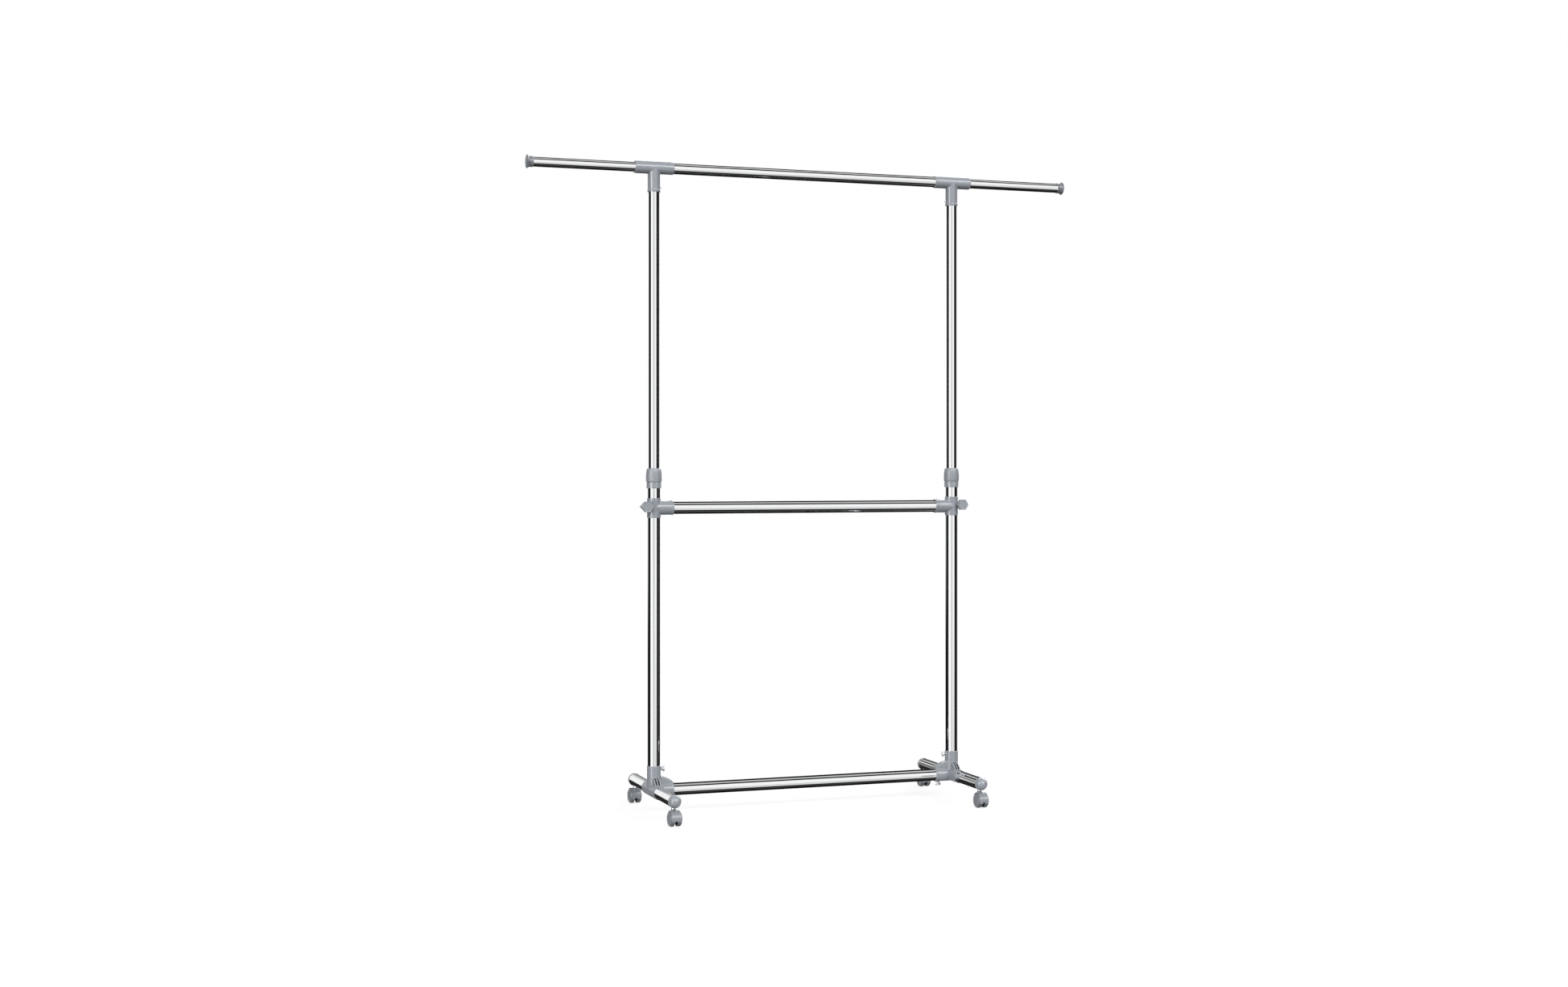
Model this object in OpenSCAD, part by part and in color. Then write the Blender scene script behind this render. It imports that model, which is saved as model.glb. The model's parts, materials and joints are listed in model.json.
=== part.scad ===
// Rolling clothes rack: two telescoping uprights on castered legs, a top rail with a
// pull-out rod at each end, and a sliding middle rail held by clamp knobs.
// Millimetres. +Z is up, X runs along the rails, -Y is the front.
// The origin is on the floor, under the middle of the rack.

/* [Frame] */
// Distance between the two upright axes
upright_spacing = 841; // [700:1:1000]
// Height of the leg bars and the bottom crossbar, at their axes
leg_axis_z = 62; // [60:1:66]
// Height of the top rail's axis
top_rail_z = 1672; // [1640:1:1700]
// Height of the middle rail's axis
mid_rail_z = 792; // [740:1:800]
// Distance from the rack's middle to the end of a leg tube
leg_half_length = 188; // [180:1:240]
// Distance from the rack's middle to a caster's swivel axis
stem_y = 180; // [165:1:180]

/* [Tubes] */
// Outside diameter of the lower uprights, legs, crossbar and middle rail
lower_tube_d = 32; // [32:0.5:32]
// Outside diameter of the upper uprights and the top rail
upper_tube_d = 28; // [28:0.5:28]
// Outside diameter of the pull-out rods
rod_d = 25; // [25:0.5:25]
// Wall thickness of the lower and upper tubes
tube_wall = 1.2; // [1.1:0.1:1.2]
// Wall thickness of the pull-out rods
rod_wall = 1; // [0.8:0.1:1.2]

/* [Telescoping parts] */
// Height of a lower upright's top end above the leg axis
lower_upright_top = 812; // [812:1:830]
// Length of upper upright that stays inside the lower one
upper_overlap = 144; // [100:1:180]
// How far a pull-out rod's end cap stands beyond the upright axis
rod_reach = 336.5; // [300:0.5:345]
// Length of rod that stays inside the top rail
rod_overlap = 120; // [80:1:140]

/* [Fittings] */
// Half the length of a top tee's sleeve
tee_half_length = 51.5; // [45:0.5:60]
// Distance from the top rail's axis to a tee's lower end
tee_drop = 63; // [58:0.5:75]
// Height of a middle connector's sleeve
mid_sleeve_h = 50.5; // [46:0.5:60]
// Distance from the upright axis to the mouth of a middle connector's socket
mid_socket_reach = 50.5; // [48:0.5:60]
// Width of a clamp knob across its flats
knob_flats = 27.4; // [24:0.2:27.6]
// Half the length of a base connector's leg sleeve
leg_sleeve_half = 55; // [52:0.5:65]
// Distance from the leg axis to the top of a base connector's upright socket
upright_socket_top = 63.5; // [60:0.5:75]
// Distance from the upright axis to the mouth of a base connector's crossbar socket
cross_socket_reach = 50; // [48:0.5:60]

/* [Casters] */
// Radius of a caster wheel
wheel_r = 19; // [18:0.5:19]
// Horizontal distance from the swivel axis to the wheel axle
caster_trail = 9.5; // [8:0.5:10]
// Width of a caster over both wheels
caster_w = 32.5; // [31:0.5:36]

/* [Hidden] */

$fn = 96;
CHROME = [0.80, 0.82, 0.84];
PLASTIC = [0.58, 0.62, 0.66];
DARK_PLASTIC = [0.36, 0.38, 0.41];
ZINC = [0.62, 0.63, 0.64];

upright_x = upright_spacing / 2;
lower_r = lower_tube_d / 2;
lower_bore_r = lower_r - tube_wall;
upper_r = upper_tube_d / 2;
upper_bore_r = upper_r - tube_wall;
rod_r = rod_d / 2;
rod_bore_r = rod_r - rod_wall;
// Radial play of a part that turns on a pin or a screw
running_play = 0.05;
// Radial play of a tube or sleeve that slides
sliding_play = 0.3;
sleeve_play = 0.2;

// Base connector
leg_sleeve_r = lower_r + 1.75;
upright_socket_r = lower_r + 1.7;
cross_socket_r = lower_r + 2;
mouth_rim_r = lower_r + 2.5;
mouth_rim_w = 3;
rib_t = 3.3;
rib_pitch = 6.5;
rib_reach = 42;
rib_half_axes = [48, 37];
fairing_half_w = 9.5;
fairing_half_axes = [59.6, 38.5];
wing_boss_r = 5;
wing_boss_reach = upright_socket_r + 2.2;
wing_shank_r = 2.5;
upright_wing_h = 55;
cross_wing_x = 39.5;

// Top tee and its screw
tee_r = upper_r + 2;
tee_rim_r = tee_r + 0.8;
tee_rim_h = 6;
tee_lip = 2;
tee_screw_drop = 51.5;
screw_r = 1.45;
screw_head_r = 2.6;
screw_head_h = 3.2;

// Middle connector
mid_sleeve_r = lower_r + 1.6;
mid_bore_r = lower_r + sleeve_play;
mid_socket_r = lower_r + 1.75;
mid_rim_r = lower_r + 2.5;
mid_tube_start = mid_bore_r + 1.7;
mid_screw_x = 42.5;
clamp_x = 22.9;
clamp_rise = 3.4;
ear_half_h = 5;
ear_half_t = 13.5;
clamp_slit = 2;
bolt_r = 3;
nut_side = 15.6;
nut_t = 3;

// Clamp knob: its face stands this far in front of the upright axis
knob_face = 27.3;
knob_t = 10.5;
knob_back = knob_face - knob_t;
knob_neck_r = 7.5;
knob_panel_depth = 0.4;

// Twist-lock collar: heights are measured from the lower upright's top end
collar_ring_h = 31;
collar_split_h = 15;
collar_top_h = 20.7;
collar_ring_r = 18.9;
spigot_r = lower_r + 1.2;
nut_bore_r = spigot_r + running_play;

// Caster: heights are measured from the floor
hood_gap = 0.7;
hood_t = 1.4;
hood_r = wheel_r + hood_gap + hood_t;
hood_half_w = 12.5;
hood_skirt_z = 12;
web_half_t = 3.6;
wheel_inner_x = 4;
axle_r = 2;
stem_pin_r = 2.5;
stem_shank_r = 4;
stem_collar_r = 5;
leg_bottom_z = leg_axis_z - lower_r;
hood_top_z = 2 * wheel_r + 3.3;
stem_pin_z = 24.5;
stem_top_z = leg_axis_z + 10;

// ---------- Placing and shared shapes ----------

// Turns a shape built along +Z so that it runs along +X
module along_x() {
    rotate([0, 90, 0]) children();
}

// Turns a shape built along +Z so that it runs along +Y
module along_y() {
    rotate([-90, 0, 0]) children();
}

// Places a left-hand shape on a side. Its own +X points to the rack's middle
module at_upright(side) {
    if (side == "left") {
        translate([-upright_x, 0, 0]) children();
    } else {
        mirror([1, 0, 0]) translate([-upright_x, 0, 0]) children();
    }
}

// Mirrors a front shape to the back
module at_end(end) {
    if (end == "front") {
        children();
    } else {
        mirror([0, 1, 0]) children();
    }
}

// Places a shape at a caster's swivel axis, on the floor. Its own -Y points outwards
module at_corner(end, side) {
    at_upright(side) at_end(end) translate([0, -stem_y, 0]) children();
}

module pipe(r, bore_r, h) {
    difference() {
        cylinder(r = r, h = h);
        translate([0, 0, -1]) cylinder(r = bore_r, h = h + 2);
    }
}

// Points of a quarter ellipse, from x = from_x to x = to_x, with half axes a and b
function ellipse_arc(a, b, from_x, to_x, steps = 10) =
    [for (i = [0 : steps])
        let (x = from_x + (to_x - from_x) * i / steps)
        [x, b * sqrt(1 - pow(x / a, 2))]];

// Points of a circular arc in degrees
function arc(cx, cy, r, from_a, to_a, steps = 8) =
    [for (i = [0 : steps])
        let (t = from_a + (to_a - from_a) * i / steps)
        [cx + r * cos(t), cy + r * sin(t)]];

// A pan-head screw along +X: x = 0 is under its head, and tip_x is its end
module pan_screw(tip_x) {
    along_x() rotate_extrude() polygon(concat(
        [[0, tip_x], [screw_r, tip_x], [screw_r, 0], [screw_head_r, 0]],
        arc(screw_head_r - 1.2, screw_head_h - 1.2, 1.2, 0, 90, 6),
        [[1, screw_head_h], [0.8, screw_head_h - 0.9], [0, screw_head_h - 0.9]]));
}

// ---------- Legs and crossbar ----------

module leg_bar(side) {
    color(CHROME) at_upright(side) translate([0, 0, leg_axis_z]) difference() {
        translate([0, -leg_half_length, 0]) along_y() pipe(lower_r, lower_bore_r, 2 * leg_half_length);
        for (y = [-stem_y, stem_y]) {
            translate([0, y, -lower_r - 1]) cylinder(r = stem_shank_r + 0.3, h = 6);
        }
    }
}

// Domed end cap with a plug that holds the caster's stem
module leg_cap(end, side) {
    collar_r = lower_r + 0.9;
    collar_w = 2.6;
    dome_r = lower_r + 0.6;
    plug_end = leg_half_length - stem_y + 14;
    color(PLASTIC) at_upright(side) at_end(end) translate([0, -leg_half_length, leg_axis_z])
        difference() {
            rotate([90, 0, 0]) rotate_extrude() polygon(concat(
                [[0, -plug_end], [lower_bore_r - 0.9, -plug_end], [lower_bore_r - 0.1, -plug_end + 1.6],
                 [lower_bore_r - 0.1, 0], [collar_r - 0.5, 0], [collar_r, 0.5],
                 [collar_r, collar_w - 0.5], [collar_r - 0.4, collar_w]],
                arc(0, collar_w, dome_r, 4, 90, 14)));
            translate([0, leg_half_length - stem_y, -lower_r - 1])
                cylinder(r = stem_shank_r, h = lower_r + 11.5);
        }
}

module crossbar_body() {
    start = -upright_x + leg_sleeve_r;
    color(CHROME) translate([start, 0, leg_axis_z]) along_x() pipe(lower_r, lower_bore_r, -2 * start);
}

// Rounded web between the upright socket and the crossbar socket
module base_fairing() {
    intersection() {
        along_x() rotate_extrude() polygon(concat(
            [[0, 0]],
            [for (p = ellipse_arc(fairing_half_axes[0], fairing_half_axes[1], 0, cross_socket_reach, 14))
                [p[1], p[0]]],
            [[0, cross_socket_reach]]));
        translate([0, -fairing_half_w, 0]) cube([cross_socket_reach, 2 * fairing_half_w, 60]);
    }
}

// One curved rib between the upright socket and the front of the leg sleeve
module base_rib() {
    rotate([90, 0, -90]) translate([0, 0, -rib_t / 2]) linear_extrude(rib_t)
        polygon(concat([[0, 0]], ellipse_arc(rib_half_axes[0], rib_half_axes[1], 0, rib_reach, 12),
            [[rib_reach, 0]]));
}

module base_connector(side) {
    color(PLASTIC) at_upright(side) translate([0, 0, leg_axis_z]) difference() {
        union() {
            cylinder(r = upright_socket_r, h = upright_socket_top);
            translate([0, -leg_sleeve_half, 0]) along_y()
                cylinder(r = leg_sleeve_r, h = 2 * leg_sleeve_half);
            along_x() cylinder(r = cross_socket_r, h = cross_socket_reach);
            translate([cross_socket_reach - mouth_rim_w, 0, 0]) along_x()
                cylinder(r = mouth_rim_r, h = mouth_rim_w);
            base_fairing();
            for (i = [-1 : 1]) {
                translate([i * rib_pitch, 0, 0]) base_rib();
            }
            translate([0, 0, upright_wing_h]) along_x() cylinder(r = wing_boss_r, h = wing_boss_reach);
            translate([cross_wing_x, 0, 0]) rotate([180, 0, 0])
                cylinder(r = wing_boss_r, h = wing_boss_reach);
        }
        translate([0, 0, leg_sleeve_r]) cylinder(r = lower_r, h = upright_socket_top);
        translate([0, -leg_sleeve_half - 1, 0]) along_y()
            cylinder(r = lower_r, h = 2 * leg_sleeve_half + 2);
        translate([leg_sleeve_r, 0, 0]) along_x() cylinder(r = lower_r, h = cross_socket_reach);
        translate([0, 0, upright_wing_h]) along_x()
            cylinder(r = wing_shank_r + running_play, h = wing_boss_reach + 1);
        translate([cross_wing_x, 0, 0]) rotate([180, 0, 0])
            cylinder(r = wing_shank_r + running_play, h = wing_boss_reach + 1);
    }
}

// Wing screw along +X. x = 0 is the axis of the tube that its tip touches
module wing_screw_shape() {
    tip_x = lower_r + 0.1;
    hub_x = wing_boss_reach + 1.4;
    hub_h = 7;
    lobe_r = 3.1;
    lobe_x = hub_x + hub_h - lobe_r + 0.6;
    lobe_z = 4.9;
    wing_t = 2.2;
    along_x() rotate_extrude() polygon([
        [0, tip_x], [wing_shank_r - 0.6, tip_x], [wing_shank_r, tip_x + 0.6], [wing_shank_r, hub_x],
        [3.8, hub_x], [3.4, hub_x + hub_h - 0.8], [2.8, hub_x + hub_h], [0, hub_x + hub_h]]);
    for (up = [-1, 1]) {
        translate([lobe_x, -wing_t / 2, up * lobe_z]) along_y() cylinder(r = lobe_r, h = wing_t);
    }
    translate([lobe_x - lobe_r + 0.8, -wing_t / 2, -lobe_z])
        cube([2 * lobe_r - 2.2, wing_t, 2 * lobe_z]);
}

module wing_screw_upright(side) {
    color(ZINC) at_upright(side) translate([0, 0, leg_axis_z + upright_wing_h]) wing_screw_shape();
}

module wing_screw_crossbar(side) {
    color(ZINC) at_upright(side) translate([cross_wing_x, 0, leg_axis_z])
        rotate([0, 90, 0]) wing_screw_shape();
}

// ---------- Uprights and the twist-lock collar ----------

module lower_upright(side) {
    bottom = leg_sleeve_r;
    color(CHROME) at_upright(side) translate([0, 0, leg_axis_z + bottom])
        pipe(lower_r, lower_bore_r, lower_upright_top - bottom);
}

// Puts a shape's z = 0 at the lower upright's top end
module at_collar(side) {
    at_upright(side) translate([0, 0, leg_axis_z + lower_upright_top]) children();
}

// Fixed ring and threaded spigot on the lower upright
module collar_base(side) {
    color(PLASTIC) at_collar(side) rotate_extrude() polygon([
        [lower_r, -collar_ring_h], [collar_ring_r - 0.8, -collar_ring_h],
        [collar_ring_r, -collar_ring_h + 0.8], [collar_ring_r, -collar_split_h - 0.4],
        [collar_ring_r - 0.4, -collar_split_h], [spigot_r, -collar_split_h],
        [spigot_r, 0], [lower_r, 0]]);
}

// Split cone that the nut squeezes on to the upper upright
module lock_collet() {
    foot = 0.2;
    top = 14;
    bore = upper_r + sliding_play;
    difference() {
        rotate_extrude() polygon([
            [bore, foot], [lower_r + 0.7, foot], [lower_r + 0.7, foot + 2],
            [bore + 0.9, top], [bore, top]]);
        for (turn = [0, 120, 240]) {
            rotate([0, 0, turn]) translate([0, -0.8, foot + 3]) cube([lower_r + 2, 1.6, top]);
        }
    }
}

module lock_collet_set() {
    color(PLASTIC) {
        at_collar("left") lock_collet();
        at_collar("right") lock_collet();
    }
}

module twist_nut(side) {
    foot = -collar_split_h + 0.3;
    belly_r = lower_r + 4.4;
    grips = 20;
    color(PLASTIC) at_collar(side) difference() {
        rotate_extrude() polygon([
            [nut_bore_r, foot], [belly_r - 1.2, foot], [belly_r - 0.5, foot + 0.7], [belly_r, foot + 5],
            [belly_r, collar_top_h - 20], [belly_r - 0.3, collar_top_h - 14],
            [belly_r - 0.9, collar_top_h - 8], [belly_r - 1.7, collar_top_h - 4.5],
            [belly_r - 2.7, collar_top_h - 1.4], [lower_r + 0.2, collar_top_h],
            [upper_r + sliding_play, collar_top_h], [upper_r + sliding_play, collar_top_h - 3.5],
            [lower_r - 0.2, collar_top_h - 5], [nut_bore_r, 1.2]]);
        for (i = [0 : grips - 1]) {
            rotate([0, 0, (i + 0.5) * 360 / grips]) translate([belly_r + 1.1, 0, foot + 2.5])
                cylinder(r = 1.5, h = 19, $fn = 24);
        }
    }
}

module upper_upright(side) {
    bottom = leg_axis_z + lower_upright_top - upper_overlap;
    top = top_rail_z - upper_r - 1;
    color(CHROME) at_upright(side) difference() {
        translate([0, 0, bottom]) pipe(upper_r, upper_bore_r, top - bottom);
        translate([0, 0, top_rail_z - tee_screw_drop]) along_x() cylinder(r = screw_r, h = tee_r + 2);
    }
}

// Plastic foot that centres the upper upright in the lower one
module guide_plug() {
    flange_h = 12;
    spigot_h = 22;
    translate([0, 0, leg_axis_z + lower_upright_top - upper_overlap]) rotate_extrude() polygon([
        [9, -flange_h], [lower_bore_r - 1.1, -flange_h], [lower_bore_r - sliding_play, -flange_h + 0.9],
        [lower_bore_r - sliding_play, 0], [upper_bore_r, 0], [upper_bore_r, spigot_h - 1],
        [upper_bore_r - 1, spigot_h], [9, spigot_h]]);
}

module guide_plug_set() {
    color(DARK_PLASTIC) {
        at_upright("left") guide_plug();
        at_upright("right") guide_plug();
    }
}

// ---------- Top rail ----------

module top_tee(side) {
    color(PLASTIC) at_upright(side) translate([0, 0, top_rail_z]) difference() {
        union() {
            translate([-tee_half_length, 0, 0]) along_x() cylinder(r = tee_r, h = 2 * tee_half_length);
            translate([0, 0, -tee_drop]) cylinder(r = tee_r, h = tee_drop);
            translate([0, 0, -tee_drop]) cylinder(r = tee_rim_r, h = tee_rim_h);
        }
        translate([-tee_half_length + tee_lip, 0, 0]) along_x()
            cylinder(r = upper_r, h = 2 * tee_half_length);
        translate([-tee_half_length - 1, 0, 0]) along_x()
            cylinder(r = rod_r + sliding_play, h = tee_half_length);
        translate([0, 0, -tee_drop - 1]) cylinder(r = upper_r, h = tee_drop - upper_r);
        translate([0, 0, -tee_screw_drop]) along_x() cylinder(r = screw_r, h = tee_r + 2);
    }
}

module top_rail_body() {
    half = upright_x + tee_half_length - tee_lip;
    color(CHROME) translate([-half, 0, top_rail_z]) along_x() pipe(upper_r, upper_bore_r, 2 * half);
}

module tee_screw_set() {
    color(ZINC) for (side = ["left", "right"]) {
        at_upright(side) translate([tee_r, 0, top_rail_z - tee_screw_drop])
            pan_screw(upper_bore_r - tee_r - 1);
    }
}

// ---------- Pull-out rods ----------

cap_len = 18;
rod_out_x = -rod_reach + cap_len;
rod_in_x = -tee_half_length + rod_overlap;

// Puts a shape's origin on the upright axis at the top rail's height, with -X outwards
module at_rod(side) {
    at_upright(side) translate([0, 0, top_rail_z]) children();
}

module extension_rod(side) {
    color(CHROME) at_rod(side) translate([rod_out_x, 0, 0]) along_x()
        pipe(rod_r, rod_bore_r, rod_in_x - rod_out_x);
}

// Plug on the rod's hidden end that runs inside the top rail
module rod_guide(side) {
    color(DARK_PLASTIC) at_rod(side) translate([rod_in_x, 0, 0]) along_x() rotate_extrude() polygon([
        [0, -20], [rod_bore_r - 0.8, -20], [rod_bore_r, -19], [rod_bore_r, 0],
        [upper_bore_r - sliding_play, 0], [upper_bore_r - sliding_play, 4],
        [upper_bore_r - 1.2, 5], [0, 5]]);
}

// Flanged cap on the rod's outer end, with a waisted neck and a bead next to the tube
module rod_end_cap(side) {
    bead_r = rod_r + 1.7;
    neck_r = rod_r + 1.1;
    flange_r = rod_r + 4.9;
    flange_z = cap_len - 4.6;
    flare_z = 3.2;
    color(PLASTIC) at_rod(side) translate([rod_out_x, 0, 0]) rotate([0, -90, 0]) rotate_extrude()
        polygon(concat(
            [[0, -20], [rod_bore_r - 0.8, -20], [rod_bore_r, -19], [rod_bore_r, 0], [bead_r - 0.6, 0]],
            arc(bead_r - 1.3, 1.5, 1.3, -60, 60, 5),
            [[neck_r, flare_z]],
            [for (i = [1 : 6]) let (t = i / 6)
                [neck_r + (flange_r - neck_r - 1.2) * pow(t, 3), flare_z + (flange_z - flare_z) * t]],
            arc(flange_r - 1.3, flange_z + 1.4, 1.3, -50, 70, 6),
            [[flange_r - 3, flange_z + 3.3], [flange_r - 7, flange_z + 4.1], [0, cap_len]]));
}

// ---------- Middle rail ----------

module mid_rail_body() {
    half = upright_x - mid_tube_start;
    color(CHROME) translate([0, 0, mid_rail_z]) difference() {
        translate([-half, 0, 0]) along_x() pipe(lower_r, lower_bore_r, 2 * half);
        for (x = [-upright_x + mid_screw_x, upright_x - mid_screw_x]) {
            translate([x, 0, 0]) cylinder(r = screw_r, h = lower_r + 1);
        }
    }
}

module mid_connector(side) {
    rim_w = 4;
    color(PLASTIC) at_upright(side) translate([0, 0, mid_rail_z]) difference() {
        union() {
            translate([0, 0, -mid_sleeve_h / 2]) cylinder(r = mid_sleeve_r, h = mid_sleeve_h);
            along_x() cylinder(r = mid_socket_r, h = mid_socket_reach);
            translate([mid_socket_reach - rim_w, 0, 0]) along_x() cylinder(r = mid_rim_r, h = rim_w);
            translate([-clamp_x, -ear_half_t, clamp_rise]) along_y()
                cylinder(r = ear_half_h, h = 2 * ear_half_t);
            translate([-clamp_x, -ear_half_t, clamp_rise - ear_half_h])
                cube([clamp_x, 2 * ear_half_t, 2 * ear_half_h]);
        }
        translate([0, 0, -mid_sleeve_h]) cylinder(r = mid_bore_r, h = 2 * mid_sleeve_h);
        translate([mid_tube_start, 0, 0]) along_x() cylinder(r = lower_r, h = mid_socket_reach);
        translate([-clamp_x - 20, -clamp_slit / 2, -mid_sleeve_h]) cube([35, clamp_slit, 2 * mid_sleeve_h]);
        translate([-clamp_x, -ear_half_t - 1, clamp_rise]) along_y()
            cylinder(r = bolt_r + running_play, h = 2 * ear_half_t + 2);
        translate([mid_screw_x, 0, 0]) cylinder(r = screw_r, h = mid_rim_r + 2);
    }
}

module mid_socket_screw_set() {
    color(ZINC) for (side = ["left", "right"]) {
        at_upright(side) translate([mid_screw_x, 0, mid_rail_z + mid_socket_r + 0.02]) rotate([0, -90, 0])
            pan_screw(lower_bore_r - mid_socket_r - 1);
    }
}

// Puts a shape's origin where the clamp bolt's axis passes the upright
module at_clamp(side) {
    at_upright(side) translate([-clamp_x, 0, mid_rail_z + clamp_rise]) children();
}

// Square plate nuts behind the ears. One corner points away from the upright
module clamp_nut_set() {
    color(ZINC) for (side = ["left", "right"]) {
        at_clamp(side) translate([0, ear_half_t, 0]) along_y() difference() {
            rotate([0, 0, 45]) translate([-nut_side / 2, -nut_side / 2, 0])
                cube([nut_side, nut_side, nut_t]);
            translate([0, 0, -1]) cylinder(r = bolt_r + running_play, h = nut_t + 2);
        }
    }
}

// Hexagonal knob with a sunk front panel. Its corners point sideways
module clamp_knob(side) {
    knob_d = knob_flats / cos(30);
    edge = 0.9;
    color(PLASTIC) at_clamp(side) rotate([90, 0, 0]) difference() {
        union() {
            intersection() {
                translate([0, 0, knob_back]) cylinder(d = knob_d, h = knob_t, $fn = 6);
                rotate_extrude() polygon([
                    [0, knob_back], [knob_flats / 2 + 0.5, knob_back], [knob_d / 2, knob_back + edge],
                    [knob_d / 2, knob_face - edge], [knob_flats / 2 + 0.5, knob_face], [0, knob_face]]);
            }
            translate([0, 0, ear_half_t + 0.3]) cylinder(r = knob_neck_r, h = knob_back - ear_half_t);
        }
        translate([0, 0, knob_face - knob_panel_depth]) cylinder(d = knob_d - 4.6, h = 2, $fn = 6);
        cylinder(r = bolt_r, h = knob_face - 3);
    }
}

module clamp_bolt(side) {
    tail = ear_half_t + nut_t + 2.5;
    color(ZINC) at_clamp(side) rotate([90, 0, 0]) rotate_extrude()
        polygon([[0, -tail], [bolt_r - 0.6, -tail], [bolt_r, -tail + 0.6], [bolt_r, knob_face - 3],
            [0, knob_face - 3]]);
}

// ---------- Casters ----------

module caster_stem() {
    collar_z = hood_top_z + 0.15;
    rotate_extrude() polygon([
        [0, stem_pin_z], [stem_pin_r - 0.5, stem_pin_z], [stem_pin_r, stem_pin_z + 0.5],
        [stem_pin_r, collar_z], [stem_collar_r - 0.5, collar_z], [stem_collar_r, collar_z + 0.5],
        [stem_collar_r, leg_bottom_z - 1], [stem_shank_r + 0.2, leg_bottom_z - 0.1],
        [stem_shank_r - 0.05, leg_bottom_z - 0.1], [stem_shank_r - 0.05, stem_top_z - 1],
        [stem_shank_r - 1, stem_top_z], [0, stem_top_z]]);
}

module caster_stem_set() {
    color(ZINC) for (end = ["front", "back"], side = ["left", "right"]) {
        at_corner(end, side) caster_stem();
    }
}

// Puts a shape built along +Z on the wheel axle, along +X
module on_axle() {
    translate([0, -caster_trail, wheel_r]) along_x() children();
}

module caster_hood(end, side) {
    wheel_room_r = wheel_r + hood_gap;
    boss_r = 6.5;
    hub_r = wheel_r - hood_skirt_z - 0.8;
    color(PLASTIC) at_corner(end, side) difference() {
        union() {
            intersection() {
                translate([-hood_half_w, 0, 0]) on_axle() cylinder(r = hood_r, h = 2 * hood_half_w);
                translate([-30, -60, hood_skirt_z]) cube([60, 100, 60]);
            }
            translate([0, 0, wheel_r]) cylinder(r = boss_r, h = hood_top_z - wheel_r);
        }
        difference() {
            translate([-30, 0, 0]) on_axle() cylinder(r = wheel_room_r, h = 60);
            translate([-web_half_t, -60, wheel_r - 4]) cube([2 * web_half_t, 100, 60]);
            translate([-web_half_t, 0, 0]) on_axle() cylinder(r = hub_r, h = 2 * web_half_t);
        }
        translate([-30, 0, 0]) on_axle() cylinder(r = axle_r, h = 60);
        translate([0, 0, stem_pin_z - 0.5]) cylinder(r = stem_pin_r + running_play, h = 60);
        for (from_y = [-caster_trail - 8 - 40, -caster_trail + 8]) {
            translate([0, from_y, hood_skirt_z]) along_y() cylinder(r = 3.4, h = 40);
        }
    }
}

module caster_axle(end, side) {
    half = caster_w / 2 - 2.5;
    color(ZINC) at_corner(end, side) translate([-half, 0, 0]) on_axle() cylinder(r = axle_r, h = 2 * half);
}

// A hollow wheel: its open side faces the hood's web
module caster_wheel(end, side, outward) {
    face_x = caster_w / 2;
    bore_end_x = face_x - 2.25;
    rim_in_r = wheel_r - 2.8;
    shoulder_x = 10.5;
    shoulder_r = 12;
    color(DARK_PLASTIC) at_corner(end, side) on_axle() mirror([0, 0, outward ? 1 : 0]) rotate_extrude()
        polygon(concat(
            [[rim_in_r, wheel_inner_x], [wheel_r - 0.6, wheel_inner_x], [wheel_r, wheel_inner_x + 0.6]],
            [for (i = [0 : 8]) let (t = i * 90 / 8)
                [shoulder_r + (wheel_r - shoulder_r) * cos(t),
                 shoulder_x + (face_x - shoulder_x) * sin(t)]],
            [[8, face_x], [7.5, face_x - 0.5], [0, face_x - 0.5],
             [0, bore_end_x], [axle_r + running_play, bore_end_x], [axle_r + running_play, wheel_inner_x],
             [4.2, wheel_inner_x], [4.2, face_x - 3.2], [shoulder_r - 1, face_x - 3.2],
             [rim_in_r, shoulder_x - 0.5]]));
}

// ---------- One line per node ----------

leg_bar("left");  // leg_bar_left
leg_bar("right");  // leg_bar_right
leg_cap("front", "left");  // leg_cap_front_left
leg_cap("front", "right");  // leg_cap_front_right
leg_cap("back", "left");  // leg_cap_back_left
leg_cap("back", "right");  // leg_cap_back_right
base_connector("left");  // base_connector_left
base_connector("right");  // base_connector_right
crossbar_body();  // bottom_crossbar
lower_upright("left");  // lower_upright_left
lower_upright("right");  // lower_upright_right
collar_base("left");  // collar_base_left
collar_base("right");  // collar_base_right
lock_collet_set();  // lock_collets
twist_nut("left");  // twist_nut_left
twist_nut("right");  // twist_nut_right
wing_screw_upright("left");  // wing_screw_upright_left
wing_screw_upright("right");  // wing_screw_upright_right
wing_screw_crossbar("left");  // wing_screw_crossbar_left
wing_screw_crossbar("right");  // wing_screw_crossbar_right
upper_upright("left");  // upper_upright_left
upper_upright("right");  // upper_upright_right
guide_plug_set();  // guide_plugs
top_tee("left");  // top_tee_left
top_tee("right");  // top_tee_right
top_rail_body();  // top_rail
tee_screw_set();  // tee_screws
extension_rod("left");  // extension_rod_left
extension_rod("right");  // extension_rod_right
rod_guide("left");  // rod_guide_left
rod_guide("right");  // rod_guide_right
rod_end_cap("left");  // rod_end_cap_left
rod_end_cap("right");  // rod_end_cap_right
mid_rail_body();  // mid_rail
mid_connector("left");  // mid_connector_left
mid_connector("right");  // mid_connector_right
mid_socket_screw_set();  // mid_socket_screws
clamp_nut_set();  // clamp_nuts
clamp_knob("left");  // clamp_knob_left
clamp_knob("right");  // clamp_knob_right
clamp_bolt("left");  // clamp_bolt_left
clamp_bolt("right");  // clamp_bolt_right
caster_stem_set();  // caster_stems
caster_hood("front", "left");  // caster_hood_front_left
caster_hood("front", "right");  // caster_hood_front_right
caster_hood("back", "left");  // caster_hood_back_left
caster_hood("back", "right");  // caster_hood_back_right
caster_axle("front", "left");  // caster_axle_front_left
caster_axle("front", "right");  // caster_axle_front_right
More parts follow.
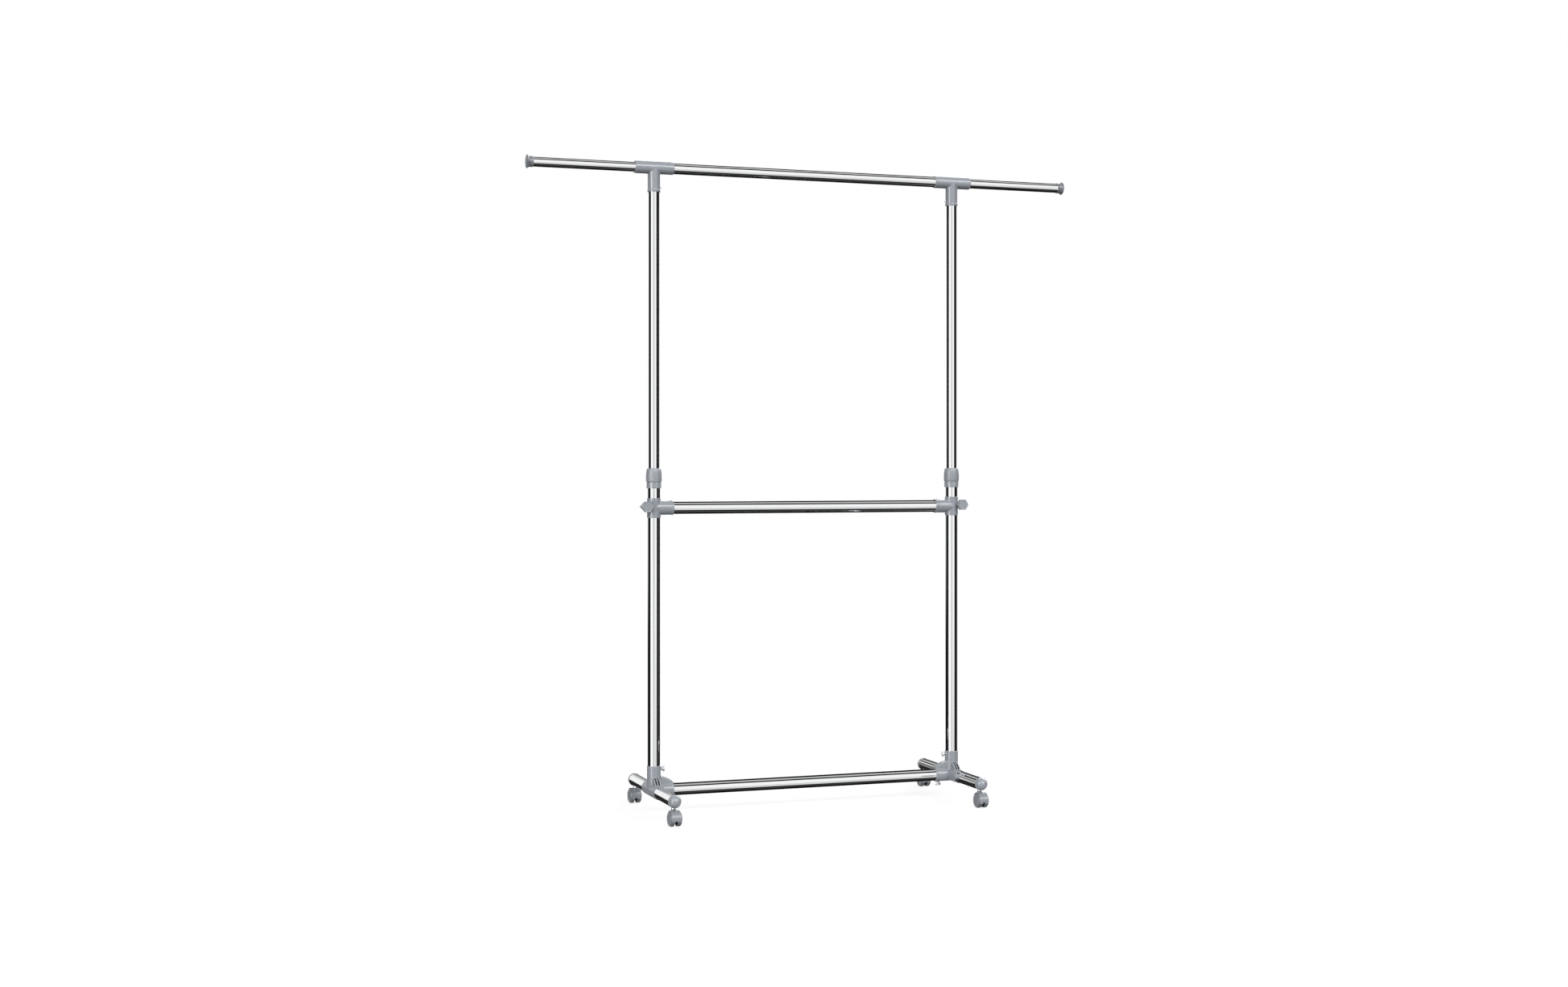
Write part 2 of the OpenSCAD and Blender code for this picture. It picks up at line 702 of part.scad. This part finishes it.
caster_axle("back", "left");  // caster_axle_back_left
caster_axle("back", "right");  // caster_axle_back_right
caster_wheel("front", "left", true);  // outer_wheel_front_left
caster_wheel("front", "left", false);  // inner_wheel_front_left
caster_wheel("front", "right", true);  // outer_wheel_front_right
caster_wheel("front", "right", false);  // inner_wheel_front_right
caster_wheel("back", "left", true);  // outer_wheel_back_left
caster_wheel("back", "left", false);  // inner_wheel_back_left
caster_wheel("back", "right", true);  // outer_wheel_back_right
caster_wheel("back", "right", false);  // inner_wheel_back_right
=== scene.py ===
"""Rolling clothes rack: chrome tubes, moulded grey fittings and twin-wheel casters.

The CAD frame gives every piece and its motion. This script rounds the moulded parts and wing screws,
puts a procedural material on every surface, and sets up the studio.
"""

import json
import math

import bpy
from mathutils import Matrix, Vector


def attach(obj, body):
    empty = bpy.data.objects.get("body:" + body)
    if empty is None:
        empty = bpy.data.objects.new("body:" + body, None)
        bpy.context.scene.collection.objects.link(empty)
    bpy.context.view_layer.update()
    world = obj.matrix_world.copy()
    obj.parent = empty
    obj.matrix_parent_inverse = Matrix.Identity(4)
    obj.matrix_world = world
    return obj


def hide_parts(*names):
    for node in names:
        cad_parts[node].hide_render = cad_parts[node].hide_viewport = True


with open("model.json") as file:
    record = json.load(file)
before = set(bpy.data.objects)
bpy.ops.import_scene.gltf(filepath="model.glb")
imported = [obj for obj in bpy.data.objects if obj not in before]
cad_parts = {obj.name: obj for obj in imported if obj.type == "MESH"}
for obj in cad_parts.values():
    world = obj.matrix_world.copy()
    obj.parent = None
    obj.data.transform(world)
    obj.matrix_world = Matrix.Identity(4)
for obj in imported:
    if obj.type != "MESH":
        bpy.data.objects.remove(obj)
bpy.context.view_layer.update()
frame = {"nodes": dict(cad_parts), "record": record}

BODIES = frame["record"]["behaviour"]["bodies"]
BODY_OF = {node: body for body, nodes in BODIES.items() for node in nodes}
SLOT_OF = {part["node"]: part["material_slot"] for part in frame["record"]["subparts"]}
NODES = frame["nodes"]

# ---------- Camera ----------

CAMERA_AZIMUTH = math.radians(-19.5)
CAMERA_PLACE = (-1.852, -5.051, 0.900)
CAMERA_LENS = 46.5
CAMERA_SHIFT_Y = -0.0174


def make_camera():
    data = bpy.data.cameras.new("camera")
    data.lens = CAMERA_LENS
    data.sensor_width = 36.0
    data.sensor_fit = "HORIZONTAL"
    data.shift_y = CAMERA_SHIFT_Y
    data.clip_end = 200.0
    camera = bpy.data.objects.new("camera", data)
    camera.location = CAMERA_PLACE
    camera.rotation_euler = (math.radians(90), 0, CAMERA_AZIMUTH)
    bpy.context.scene.collection.objects.link(camera)
    bpy.context.scene.camera = camera


# ---------- Node helpers ----------


class Graph:
    """Short calls for building a node tree."""

    def __init__(self, tree):
        self.tree = tree
        tree.nodes.clear()

    def node(self, kind, **settings):
        made = self.tree.nodes.new(kind)
        for name, value in settings.items():
            setattr(made, name, value)
        return made

    def link(self, source, target):
        self.tree.links.new(source, target)

    def feed(self, socket, value):
        if isinstance(value, bpy.types.NodeSocket):
            self.link(value, socket)
        else:
            socket.default_value = value

    def math(self, operation, a, b=0.0, c=0.0):
        made = self.node("ShaderNodeMath", operation=operation)
        for socket, value in zip(made.inputs, (a, b, c)):
            self.feed(socket, value)
        return made.outputs[0]

    def step(self, value, low, high, to_low=0.0, to_high=1.0):
        """to_low below low, to_high above high, and a smooth rise between them."""
        made = self.node("ShaderNodeMapRange", interpolation_type="SMOOTHSTEP")
        for name, number in (("From Min", low), ("From Max", high), ("To Min", to_low), ("To Max", to_high)):
            made.inputs[name].default_value = number
        self.feed(made.inputs["Value"], value)
        return made.outputs["Result"]

    def band(self, value, low, high, soft):
        """1 from low to high and 0 outside, with soft edges."""
        rise = self.step(value, low - soft, low)
        return self.math("MULTIPLY", rise, self.step(value, high, high + soft, 1.0, 0.0))

    def mix(self, amount, a, b):
        """a where amount is 0, b where it is 1. Numbers only."""
        made = self.node("ShaderNodeMix", data_type="FLOAT")
        self.feed(made.inputs[0], amount)
        self.feed(made.inputs[2], a)
        self.feed(made.inputs[3], b)
        return made.outputs[0]

    def layers(self, value, light, rows):
        """light, changed to the strength of each row as value rises from the row's low to its high."""
        for low, high, strength in rows:
            light = self.mix(self.step(value, low, high), light, strength)
        return light

    def mix_colour(self, amount, a, b):
        made = self.node("ShaderNodeMix", data_type="RGBA")
        self.feed(made.inputs[0], amount)
        self.feed(made.inputs[6], a)
        self.feed(made.inputs[7], b)
        return made.outputs[2]

    def noise(self, vector, scale, detail=3.0, roughness=0.5):
        made = self.node("ShaderNodeTexNoise")
        made.inputs["Scale"].default_value = scale
        made.inputs["Detail"].default_value = detail
        made.inputs["Roughness"].default_value = roughness
        self.feed(made.inputs["Vector"], vector)
        return made.outputs["Fac"]

    def bump(self, height, strength, distance, normal=None):
        made = self.node("ShaderNodeBump")
        made.inputs["Strength"].default_value = strength
        made.inputs["Distance"].default_value = distance
        self.feed(made.inputs["Height"], height)
        if normal is not None:
            self.feed(made.inputs["Normal"], normal)
        return made.outputs["Normal"]


def new_material(name):
    """A material, its graph, its shader and the object's own coordinates in metres."""
    material = bpy.data.materials.new(name)
    material.use_nodes = True
    graph = Graph(material.node_tree)
    output = graph.node("ShaderNodeOutputMaterial")
    shader = graph.node("ShaderNodeBsdfPrincipled")
    graph.link(shader.outputs["BSDF"], output.inputs["Surface"])
    place = graph.node("ShaderNodeTexCoord").outputs["Object"]
    return material, graph, shader, place


# ---------- Studio ----------

# Soft boxes: azimuth from the camera's axis and height angle in degrees, distance and size in metres.
# gloss is the radiance that reflections see, and soft is the radiance that lights matt surfaces
SOFT_BOXES = {
    "side_box": {"turn": -41, "tilt": 2, "distance": 5.0, "size": (0.8, 5.5), "gloss": 23, "soft": 12},
    "top_box": {"turn": 30, "tilt": 34, "distance": 10.0, "size": (14.0, 1.8), "gloss": 19, "soft": 13},
    "fill_box": {"turn": 43, "tilt": 6, "distance": 5.0, "size": (0.5, 1.2), "gloss": 9, "soft": 0},
    "back_box": {"turn": 150, "tilt": 30, "distance": 8.0, "size": (9.0, 1.6), "gloss": 12, "soft": 7},
    "rear_box": {"turn": 180, "tilt": 6, "distance": 6.0, "size": (5.0, 3.0), "gloss": 0, "soft": 7},
}
# Boxes whose soft light, like all gloss light, reaches only the plastic and zinc parts
FITTINGS_ONLY = ("rear_box",)
AIM = Vector((0, 0, 0.9))
# The plastic and zinc parts. Chrome isn't among them, as it reflects the world alone
GLOSS_RECEIVERS = bpy.data.collections.new("gloss_receivers")

# What the chrome reflects is painted on the world by direction, in degrees: turn is the azimuth from the
# camera's axis, tilt the height angle, and pitch the angle about the X axis, up from the front.
# A row of three is two angles and the strength that the light changes to between them.
# A row of four is two angles and the strength at each

# All round: a dark flag, a white wall with a greyer middle, and a dark flag on the right
LEFT_FLAG = (-126.0, -121.0, 0.010)
FRONT_WALL = ((-63.0, -58.0, 1.08), (-22.0, -12.0, 0.68), (14.0, 26.0, 0.97))
RIGHT_FLAG = (56.0, 60.0, 0.016)
# The white wall is greyer low down on the right
LOW_RIGHT_TURNS = (24.0, 32.0)
LOW_RIGHT_TILTS = (-9.0, -3.0)
LOW_RIGHT_LIGHT = 0.70

# The wall behind greys towards the middle, and is dark at its top
BACK_WALL = (-176.0, -150.0, 0.30, 0.95)
BACK_WALL_TOP = (18.5, 21.0, 0.035)
# Its left end is a grey wing with a lighter foot
WING_TURNS = (-141.5, -139.5)
WING_FOOT_TILTS = (-2.5, 0.5)
WING_FOOT_LIGHT = 0.38
WING_LIGHT = (2.0, 12.0, 0.13, 0.25)
# A light strip with soft sides stands over its top
STRIP_TURNS = (-167.0, -160.0, 5.0)
STRIP_TILTS = (23.0, 24.5)
STRIP_LIGHT = 0.75
# Its lower edge slants: two turns, and the tilt of the edge at each. Below it is dark
LOWER_EDGE = (-178.0, -142.0, 4.0, -4.0)
LOWER_EDGE_SOFT = (-1.5, 1.5)
BELOW_LIGHT = 0.02

# The ceiling goes by pitch, from a light front: a dark gap, a light panel and a dark back
CEILING_FRONT = 1.0
CEILING = ((46.0, 52.0, 0.008), (73.0, 79.0, 0.62), (102.0, 108.0, 0.010))
# The ground goes by pitch too, from a dark back: a faint lighter band, and darker again
GROUND_BACK = 0.006
GROUND = ((-84.0, -78.0, 0.06), (-70.0, -64.0, 0.02))
# Lowest and highest tilt of the walls, and how softly they end
WALL_TILTS = (-37.0, 40.0, 5.0)

# Tubes seen from the front reflect only the horizon, a strip along the rails and a ring behind the legs.
# Each is two limits and a softness: of the tilt, of X and of Y
HORIZON = (-10.0, 9.5, 1.5)
RAIL_STRIP = (0.19, 0.475, 0.04)
LEG_RING = (0.885, 0.958, 0.01)
# The rest of the studio is open and light, so that tubes stay bright from behind and from above
OPEN_WALL_LIGHT = 0.85
OPEN_WALL_RIGHT = (102.0, 110.0)
OPEN_WALL_LEFT = (-118.0, -112.0)
OPEN_CEILING = (50.0, 56.0, 0.05, 0.9)
OPEN_GROUND = (-60.0, -50.0, 0.28, 0.7)

# Matt surfaces see a soft sky that is brightest from above, leaning towards the camera by this much
SKY_LEAN = 0.5
SKY_SPAN = (-0.35, 1.15)
SKY_LOW, SKY_HIGH = 0.03, 0.80

FLOOR_SIZE = 60.0
FLOOR_PALE = ((0.90, 0.90, 0.90, 1), (0.92, 0.92, 0.92, 1))
# The floor glows by this much near the rack, and runs out to pure white between these distances in metres
FLOOR_GLOW = 0.82
FLOOR_FADE = (0.8, 3.0)
# Light that the floor bounces on the rack, from near to far, and the distances between which it falls
BOUNCE = (0.6, 0.04)
BOUNCE_FADE = (0.5, 1.5)


def back_wall(g, turn, tilt):
    """The wall behind the rack, with its wing, its dark top, the strip over it and the dark below."""
    wall = g.step(turn, *BACK_WALL)
    wing = g.mix(g.step(tilt, *WING_FOOT_TILTS), WING_FOOT_LIGHT, g.step(tilt, *WING_LIGHT))
    wall = g.mix(g.step(turn, *WING_TURNS), wall, wing)
    wall = g.layers(tilt, wall, (BACK_WALL_TOP,))
    strip = g.math("MULTIPLY", g.band(turn, *STRIP_TURNS), g.step(tilt, *STRIP_TILTS))
    wall = g.mix(strip, wall, STRIP_LIGHT)
    above_edge = g.math("SUBTRACT", tilt, g.step(turn, *LOWER_EDGE))
    return g.mix(g.step(above_edge, *LOWER_EDGE_SOFT, 1.0, 0.0), wall, BELOW_LIGHT)


def make_world():
    """White for the camera. Soft light is brightest from above, and reflections see walls and dark flags."""
    world = bpy.data.worlds.new("studio")
    bpy.context.scene.world = world
    world.use_nodes = True
    g = Graph(world.node_tree)
    direction = g.node("ShaderNodeTexCoord").outputs["Generated"]
    split = g.node("ShaderNodeSeparateXYZ")
    g.link(direction, split.inputs[0])
    x, y, z = split.outputs
    sin_a, cos_a = math.sin(CAMERA_AZIMUTH), math.cos(CAMERA_AZIMUTH)
    to_camera = g.math("SUBTRACT", g.math("MULTIPLY", x, sin_a), g.math("MULTIPLY", y, cos_a))
    to_right = g.math("ADD", g.math("MULTIPLY", x, cos_a), g.math("MULTIPLY", y, sin_a))
    turn = g.math("DEGREES", g.math("ARCTAN2", to_right, to_camera))
    tilt = g.math("DEGREES", g.math("ARCSINE", z))
    pitch = g.math("DEGREES", g.math("ARCTAN2", z, g.math("MULTIPLY", y, -1.0)))

    wall = g.layers(turn, back_wall(g, turn, tilt), (LEFT_FLAG,) + FRONT_WALL)
    low_right = g.math("MULTIPLY", g.step(turn, *LOW_RIGHT_TURNS), g.step(tilt, *LOW_RIGHT_TILTS, 1.0, 0.0))
    wall = g.mix(low_right, wall, LOW_RIGHT_LIGHT)
    wall = g.layers(turn, wall, (RIGHT_FLAG,))
    ceiling = g.layers(pitch, CEILING_FRONT, CEILING)
    ground = g.layers(pitch, GROUND_BACK, GROUND)
    is_steep = g.math("SUBTRACT", 1.0, g.band(tilt, *WALL_TILTS))
    above = g.math("GREATER_THAN", z, 0.0)
    flagged_studio = g.mix(is_steep, wall, g.mix(above, ground, ceiling))

    open_wall = g.mix(g.step(turn, *OPEN_WALL_RIGHT), wall, OPEN_WALL_LIGHT)
    open_wall = g.mix(g.step(turn, *OPEN_WALL_LEFT), OPEN_WALL_LIGHT, open_wall)
    open_ends = g.mix(above, g.step(tilt, *OPEN_GROUND), g.step(tilt, *OPEN_CEILING))
    open_studio = g.mix(is_steep, open_wall, open_ends)
    ring_or_strip = g.math("MAXIMUM", g.band(x, *RAIL_STRIP), g.band(y, *LEG_RING))
    flagged = g.math("MAXIMUM", g.band(tilt, *HORIZON), ring_or_strip)
    studio = g.mix(flagged, open_studio, flagged_studio)

    height = g.math("ADD", z, g.math("MULTIPLY", to_camera, SKY_LEAN))
    soft = g.step(height, *SKY_SPAN, SKY_LOW, SKY_HIGH)
    path = g.node("ShaderNodeLightPath")
    glow = g.mix(path.outputs["Is Diffuse Ray"], studio, soft)
    glow = g.mix(path.outputs["Is Camera Ray"], glow, 1.0)
    background = g.node("ShaderNodeBackground")
    background.inputs["Color"].default_value = (1, 1, 1, 1)
    g.link(glow, background.inputs["Strength"])
    output = g.node("ShaderNodeOutputWorld")
    g.link(background.outputs[0], output.inputs["Surface"])
    # The shader alone decides what each kind of ray sees, so its light isn't sampled separately
    world.cycles.sampling_method = "NONE"


def make_floor():
    """A pale floor that runs out to white. Soft light bounced from it is dimmed."""
    mesh = bpy.data.meshes.new("floor")
    corners = [(x * FLOOR_SIZE, y * FLOOR_SIZE, 0) for x, y in ((-1, -1), (1, -1), (1, 1), (-1, 1))]
    mesh.from_pydata(corners, [], [(0, 1, 2, 3)])
    floor = bpy.data.objects.new("floor", mesh)
    bpy.context.scene.collection.objects.link(floor)
    material, g, shader, place = new_material("pale_floor")
    pale = g.mix_colour(g.noise(place, scale=3.0, detail=2.0), *FLOOR_PALE)
    distance = g.node("ShaderNodeVectorMath", operation="LENGTH")
    g.link(place, distance.inputs[0])
    distance = distance.outputs["Value"]
    diffuse_ray = g.node("ShaderNodeLightPath").outputs["Is Diffuse Ray"]
    bounce = g.step(distance, *BOUNCE_FADE, *BOUNCE)
    g.link(g.mix_colour(diffuse_ray, pale, bounce), shader.inputs["Base Color"])
    shader.inputs["Roughness"].default_value = 0.9
    shader.inputs["Specular IOR Level"].default_value = 0.0
    glow = g.node("ShaderNodeEmission")
    g.link(g.mix(diffuse_ray, 1.0, bounce), glow.inputs["Strength"])
    blend = g.node("ShaderNodeMixShader")
    g.link(g.step(distance, *FLOOR_FADE, FLOOR_GLOW, 1.0), blend.inputs[0])
    g.link(shader.outputs[0], blend.inputs[1])
    g.link(glow.outputs[0], blend.inputs[2])
    output = next(n for n in g.tree.nodes if n.type == "OUTPUT_MATERIAL")
    g.link(blend.outputs[0], output.inputs["Surface"])
    mesh.materials.append(material)
    floor.visible_glossy = False


def make_soft_box(name, turn, tilt, distance, size, gloss, soft):
    """Two lamps in one place, for reflections and for soft light. Power follows from radiance and size."""
    angle = CAMERA_AZIMUTH + math.radians(turn)
    flat = distance * math.cos(math.radians(tilt))
    height = distance * math.sin(math.radians(tilt))
    place = AIM + Vector((flat * math.sin(angle), -flat * math.cos(angle), height))
    for kind, radiance in (("gloss", gloss), ("soft", soft)):
        if radiance == 0:
            continue
        data = bpy.data.lights.new(name + "_" + kind, "AREA")
        data.shape = "RECTANGLE"
        data.size, data.size_y = size
        data.energy = radiance * math.pi * size[0] * size[1]
        lamp = bpy.data.objects.new(name + "_" + kind, data)
        lamp.location = place
        lamp.rotation_euler = (AIM - place).to_track_quat("-Z", "Y").to_euler()
        lamp.visible_camera = False
        lamp.visible_diffuse = kind == "soft"
        lamp.visible_glossy = kind == "gloss"
        if kind == "gloss" or name in FITTINGS_ONLY:
            lamp.light_linking.receiver_collection = GLOSS_RECEIVERS
        bpy.context.scene.collection.objects.link(lamp)


# ---------- Materials ----------

# The wheels' axles, and the radii between which a wheel's face ends and its tread begins, in metres
WHEEL_AXLE_Y, WHEEL_AXLE_Z = 0.1895, 0.019
TREAD_START = (0.0160, 0.0172)

# Each finish drifts between a darker and a lighter colour
CHROME_TINT = ((0.90, 0.91, 0.92, 1), (0.95, 0.95, 0.96, 1))
ZINC_TINT = ((0.50, 0.51, 0.53, 1), (0.68, 0.69, 0.70, 1))
GREY = ((0.226, 0.242, 0.268, 1), (0.246, 0.263, 0.290, 1))
CAP_GREY = ((0.15, 0.163, 0.182, 1), (0.19, 0.205, 0.227, 1))
HOOD_GREY = ((0.185, 0.198, 0.218, 1), (0.225, 0.24, 0.262, 1))
WHEEL_GREY = ((0.175, 0.187, 0.205, 1), (0.215, 0.229, 0.250, 1))
# A darker grey painted on the wheels' running surfaces: painted shade for the shadow at their bottoms
TREAD_SHADE_GREY = (0.125, 0.133, 0.146, 1)
NEAR_BLACK = ((0.035, 0.037, 0.04, 1), (0.05, 0.052, 0.056, 1))
# How much lighter rubbed edges are than the plastic, and how much of that shows
EDGE_LIGHTER = 1.35
EDGE_SHOWN = 0.35
# Mottling, and the painted shade that darkens inner corners and creases, with its strength and its reach in
# metres
CLOUD_COLOUR = (0.04, 0.043, 0.05, 1)
CREASE_SHADE_COLOUR = (0.02, 0.021, 0.023, 1)
CREASE_SHADE_SHOWN = 0.85
CREASE_REACH = 0.009
# How much the roughness of plastic varies, over broad patches and in the grain
ROUGH_SPREAD = 0.05


def chrome():
    """Polished tube with a faint fine grain and soft smears in its gloss."""
    material, g, shader, place = new_material("chrome")
    shader.inputs["Metallic"].default_value = 1.0
    smear = g.noise(place, scale=9.0, detail=4.0)
    fine = g.noise(place, scale=420.0, detail=2.0)
    g.link(g.mix_colour(smear, *CHROME_TINT), shader.inputs["Base Color"])
    rough = g.math("ADD", g.step(smear, 0.35, 0.75, 0.025, 0.06), g.math("MULTIPLY", fine, 0.015))
    g.link(rough, shader.inputs["Roughness"])
    g.link(g.bump(fine, strength=0.02, distance=0.0002), shader.inputs["Normal"])
    return material


def wheel_radius(g, place):
    """Distance from the wheel axles, which run along X at the same height, front and back."""
    split = g.node("ShaderNodeSeparateXYZ")
    g.link(place, split.inputs[0])
    _, y, z = split.outputs
    across = g.math("SUBTRACT", g.math("ABSOLUTE", y), WHEEL_AXLE_Y)
    up = g.math("SUBTRACT", z, WHEEL_AXLE_Z)
    return g.math("SQRT", g.math("ADD", g.math("MULTIPLY", across, across), g.math("MULTIPLY", up, up)))


def moulded_plastic(name, colours, rough, mottle=0.0, tread=None):
    """Injection-moulded plastic: fine grain, slow colour drift, rubbed high edges, and painted shade in its
    creases.

    rough is its lowest roughness. mottle darkens it in small clouds. tread is a darker colour painted all
    round a wheel's running surface, as painted shade for the shadow at the wheels' bottoms.
    """
    dark, light = colours
    material, g, shader, place = new_material(name)
    drift = g.noise(place, scale=14.0, detail=5.0)
    grain = g.noise(place, scale=1400.0, detail=2.0, roughness=0.6)
    flow = g.noise(place, scale=60.0, detail=6.0, roughness=0.6)
    colour = g.mix_colour(drift, dark, light)
    pointiness = g.node("ShaderNodeNewGeometry").outputs["Pointiness"]
    rubbed = tuple(min(1.0, c * EDGE_LIGHTER) for c in light[:3]) + (1,)
    colour = g.mix_colour(g.step(pointiness, 0.52, 0.60, 0.0, EDGE_SHOWN), colour, rubbed)
    if mottle:
        clouds = g.noise(place, scale=330.0, detail=4.0, roughness=0.7)
        colour = g.mix_colour(g.step(clouds, 0.42, 0.62, 0.0, mottle), colour, CLOUD_COLOUR)
    # Painted shade: the running surface is darkened all round the rim, for the shadow at the wheels' bottoms
    if tread:
        colour = g.mix_colour(g.step(wheel_radius(g, place), *TREAD_START), colour, tread)
    # Painted shade: ambient occlusion darkens inner corners, creases and rib gaps, where shade falls
    crease = g.node("ShaderNodeAmbientOcclusion", samples=8, only_local=True)
    crease.inputs["Distance"].default_value = CREASE_REACH
    crease_shade = g.step(crease.outputs["AO"], 0.25, 0.85, CREASE_SHADE_SHOWN, 0.0)
    g.link(g.mix_colour(crease_shade, colour, CREASE_SHADE_COLOUR), shader.inputs["Base Color"])
    patches = g.step(flow, 0.2, 0.8, rough, rough + ROUGH_SPREAD)
    g.link(g.math("ADD", patches, g.math("MULTIPLY", grain, ROUGH_SPREAD)), shader.inputs["Roughness"])
    waves = g.bump(flow, strength=0.03, distance=0.0006)
    g.link(g.bump(grain, strength=0.10, distance=0.00012, normal=waves), shader.inputs["Normal"])
    return material


def zinc():
    """Zinc-plated steel: a cloudy plating with a fine grain."""
    material, g, shader, place = new_material("zinc_plate")
    shader.inputs["Metallic"].default_value = 1.0
    cloud = g.noise(place, scale=180.0, detail=4.0)
    fine = g.noise(place, scale=2400.0, detail=2.0)
    g.link(g.mix_colour(cloud, *ZINC_TINT), shader.inputs["Base Color"])
    g.link(g.step(cloud, 0.3, 0.7, 0.24, 0.42), shader.inputs["Roughness"])
    g.link(g.bump(fine, strength=0.12, distance=0.0001), shader.inputs["Normal"])
    return material


make_camera()
make_world()
make_floor()
for box_name, box in SOFT_BOXES.items():
    make_soft_box(box_name, **box)

FINISHES = {
    "polished_chrome": chrome(),
    "grey_plastic": moulded_plastic("grey_plastic", GREY, 0.25),
    "wheel_plastic": moulded_plastic("wheel_plastic", WHEEL_GREY, 0.32, tread=TREAD_SHADE_GREY),
    "dark_plastic": moulded_plastic("dark_plastic", NEAR_BLACK, 0.45),
    "zinc_steel": zinc(),
}
# Kinds of part whose plastic looks different from the rest of their slot
SPECIAL_FINISHES = {
    "rod_end_cap": moulded_plastic("rod_cap_plastic", CAP_GREY, 0.3, 0.5),
    "twist_nut": moulded_plastic("nut_plastic", GREY, 0.36),
    "caster_hood": moulded_plastic("hood_plastic", HOOD_GREY, 0.34, 0.25),
}


def finish(piece, material):
    piece.data.materials.clear()
    piece.data.materials.append(material)


# ---------- Moulded parts ----------

# Voxel size in metres and smoothing passes that round each kind of part
MOULDED = {
    "base_connector": (0.00075, 4),
    "top_tee": (0.00075, 3),
    "mid_connector": (0.0006, 5),
    "clamp_knob": (0.0004, 5),
    "twist_nut": (0.0005, 10),
    "caster_hood": (0.00045, 4),
    "rod_end_cap": (0.0005, 3),
    "wing_screw": (0.0003, 4),
}


def rounded_copy(node, voxel, passes):
    """A copy of a CAD node whose edges and inner corners are rounded like a moulding."""
    source = NODES[node]
    piece = bpy.data.objects.new(node + "_moulded", source.data.copy())
    bpy.context.scene.collection.objects.link(piece)
    remesh = piece.modifiers.new("remesh", "REMESH")
    remesh.mode = "VOXEL"
    remesh.voxel_size = voxel
    remesh.adaptivity = 0.0
    smooth = piece.modifiers.new("smooth", "SMOOTH")
    smooth.factor = 0.5
    smooth.iterations = passes
    graph = bpy.context.evaluated_depsgraph_get()
    mesh = bpy.data.meshes.new_from_object(piece.evaluated_get(graph))
    piece.modifiers.clear()
    piece.data = mesh
    mesh.shade_smooth()
    return piece


for cad_name, cad_object in NODES.items():
    slot_name = SLOT_OF[cad_name]
    kind = next((k for k in MOULDED if cad_name.startswith(k)), None)
    if kind is None:
        for material_slot in cad_object.material_slots:
            material_slot.material = FINISHES[slot_name]
        if slot_name != "polished_chrome":
            GLOSS_RECEIVERS.objects.link(cad_object)
        continue
    piece = rounded_copy(cad_name, *MOULDED[kind])
    finish(piece, SPECIAL_FINISHES.get(kind, FINISHES[slot_name]))
    GLOSS_RECEIVERS.objects.link(piece)
    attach(piece, BODY_OF[cad_name])
    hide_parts(cad_name)

bpy.context.scene.view_settings.view_transform = "Standard"
